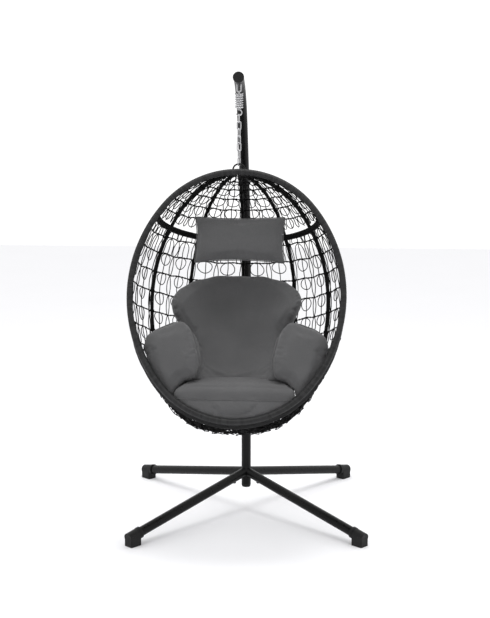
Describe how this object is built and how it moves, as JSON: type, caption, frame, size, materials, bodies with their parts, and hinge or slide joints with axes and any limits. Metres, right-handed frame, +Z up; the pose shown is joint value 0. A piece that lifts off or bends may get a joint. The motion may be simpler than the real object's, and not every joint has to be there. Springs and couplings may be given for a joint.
{
  "type": "hanging egg chair",
  "caption": "Woven egg-shaped chair with fabric cushions, hung by a chain and spring from a curved arm on a cross-base stand.",
  "frame": {"origin": "on the floor under the middle of the chair's box", "axes": "+Z up, -Y out of the basket's open front, +X to the right of a person looking at the open front"},
  "size_m": [1.0782, 1.3097, 1.9497],
  "materials": {
    "stand_paint": "satin",
    "black_plastic": "satin",
    "bolt_steel": "satin",
    "zinc_steel": "satin",
    "frame_paint": "satin",
    "rim_wicker": "satin",
    "rib_wicker": "satin",
    "weave_cord": "satin",
    "cushion_fabric": "matte",
    "webbing": "matte"
  },
  "bodies": {
    "stand": {"lower_post": "stand_paint", "post_plug": "black_plastic", "leg_front_right": "stand_paint", "leg_rear_right": "stand_paint", "leg_rear_left": "stand_paint", "leg_front_left": "stand_paint", "foot_cap_front_right": "black_plastic", "foot_cap_rear_right": "black_plastic", "foot_cap_rear_left": "black_plastic", "foot_cap_front_left": "black_plastic", "leg_bolts": "bolt_steel", "curved_arm": "stand_paint", "post_joint_bolt": "bolt_steel", "arm_end_cap": "black_plastic", "hanging_eye": "zinc_steel"},
    "spring_top": {"upper_drawbar": "zinc_steel", "spring_coil": "zinc_steel"},
    "spring_bottom": {"lower_drawbar_hook": "zinc_steel"},
    "link_1": {"chain_link_1": "zinc_steel"},
    "link_2": {"chain_link_2": "zinc_steel"},
    "link_3": {"chain_link_3": "zinc_steel"},
    "link_4": {"chain_link_4": "zinc_steel"},
    "link_5": {"chain_link_5": "zinc_steel"},
    "link_6": {"chain_link_6": "zinc_steel"},
    "link_7": {"chain_link_7": "zinc_steel"},
    "basket": {"hanging_loop": "frame_paint", "rim_tube": "frame_paint", "rim_wrap": "rim_wicker", "belt_hoop": "rib_wicker", "rib_left_outer": "rib_wicker", "rib_left_inner": "rib_wicker", "rib_centre": "rib_wicker", "rib_right_inner": "rib_wicker", "rib_right_outer": "rib_wicker", "weave_low_1": "weave_cord", "weave_low_2": "weave_cord", "weave_low_3": "weave_cord", "weave_low_4": "weave_cord", "weave_low_5": "weave_cord", "weave_low_6": "weave_cord", "weave_high_1": "weave_cord", "weave_high_2": "weave_cord", "weave_high_3": "weave_cord", "weave_high_4": "weave_cord", "weave_high_5": "weave_cord", "weave_high_6": "weave_cord", "back_cushion": "cushion_fabric", "arm_cushion_left": "cushion_fabric", "arm_cushion_right": "cushion_fabric", "seat_cushion": "cushion_fabric", "head_pillow": "cushion_fabric", "pillow_straps": "webbing"}
  },
  "joints": [
    {"name": "swing_fore_aft", "type": "hinge", "parent": "stand", "child": "spring_top", "pos_m": [0, -0.332, 1.8695], "axis": [-1, 0, 0], "range_deg": [-6, 15]},
    {"name": "spring_stretch", "type": "slide", "parent": "spring_top", "child": "spring_bottom", "axis": [0, 0, -1], "range_m": [0, 0.02], "stiffness_N_per_m": 45000, "springref_m": -0.0085, "deforming": ["spring_coil"]},
    {"name": "swing_sideways", "type": "hinge", "parent": "spring_bottom", "child": "link_1", "pos_m": [0, -0.332, 1.78245], "axis": [0, 1, 0], "range_deg": [-10, 10]},
    {"name": "chain_twist_1", "type": "hinge", "parent": "link_1", "child": "link_2", "pos_m": [0, -0.332, 1.75183], "axis": [0, 0, 1], "range_deg": [-15, 15]},
    {"name": "chain_rock_1", "type": "hinge", "parent": "link_2", "child": "link_3", "pos_m": [0, -0.332, 1.72611], "axis": [0.5, 0.866, 0], "range_deg": [-3, 3]},
    {"name": "chain_twist_2", "type": "hinge", "parent": "link_3", "child": "link_4", "pos_m": [0, -0.332, 1.69549], "axis": [0, 0, 1], "range_deg": [-15, 15]},
    {"name": "chain_rock_2", "type": "hinge", "parent": "link_4", "child": "link_5", "pos_m": [0, -0.332, 1.66977], "axis": [0.9397, 0.342, 0], "range_deg": [-3, 3]},
    {"name": "chain_twist_3", "type": "hinge", "parent": "link_5", "child": "link_6", "pos_m": [0, -0.332, 1.63915], "axis": [0, 0, 1], "range_deg": [-15, 15]},
    {"name": "chain_rock_3", "type": "hinge", "parent": "link_6", "child": "link_7", "pos_m": [0, -0.332, 1.61343], "axis": [-0.5, -0.866, 0], "range_deg": [-3, 3]},
    {"name": "basket_rock", "type": "hinge", "parent": "link_7", "child": "basket", "pos_m": [0, -0.332, 1.58611], "axis": [1, 0, 0], "range_deg": [-5, 5]}
  ]
}
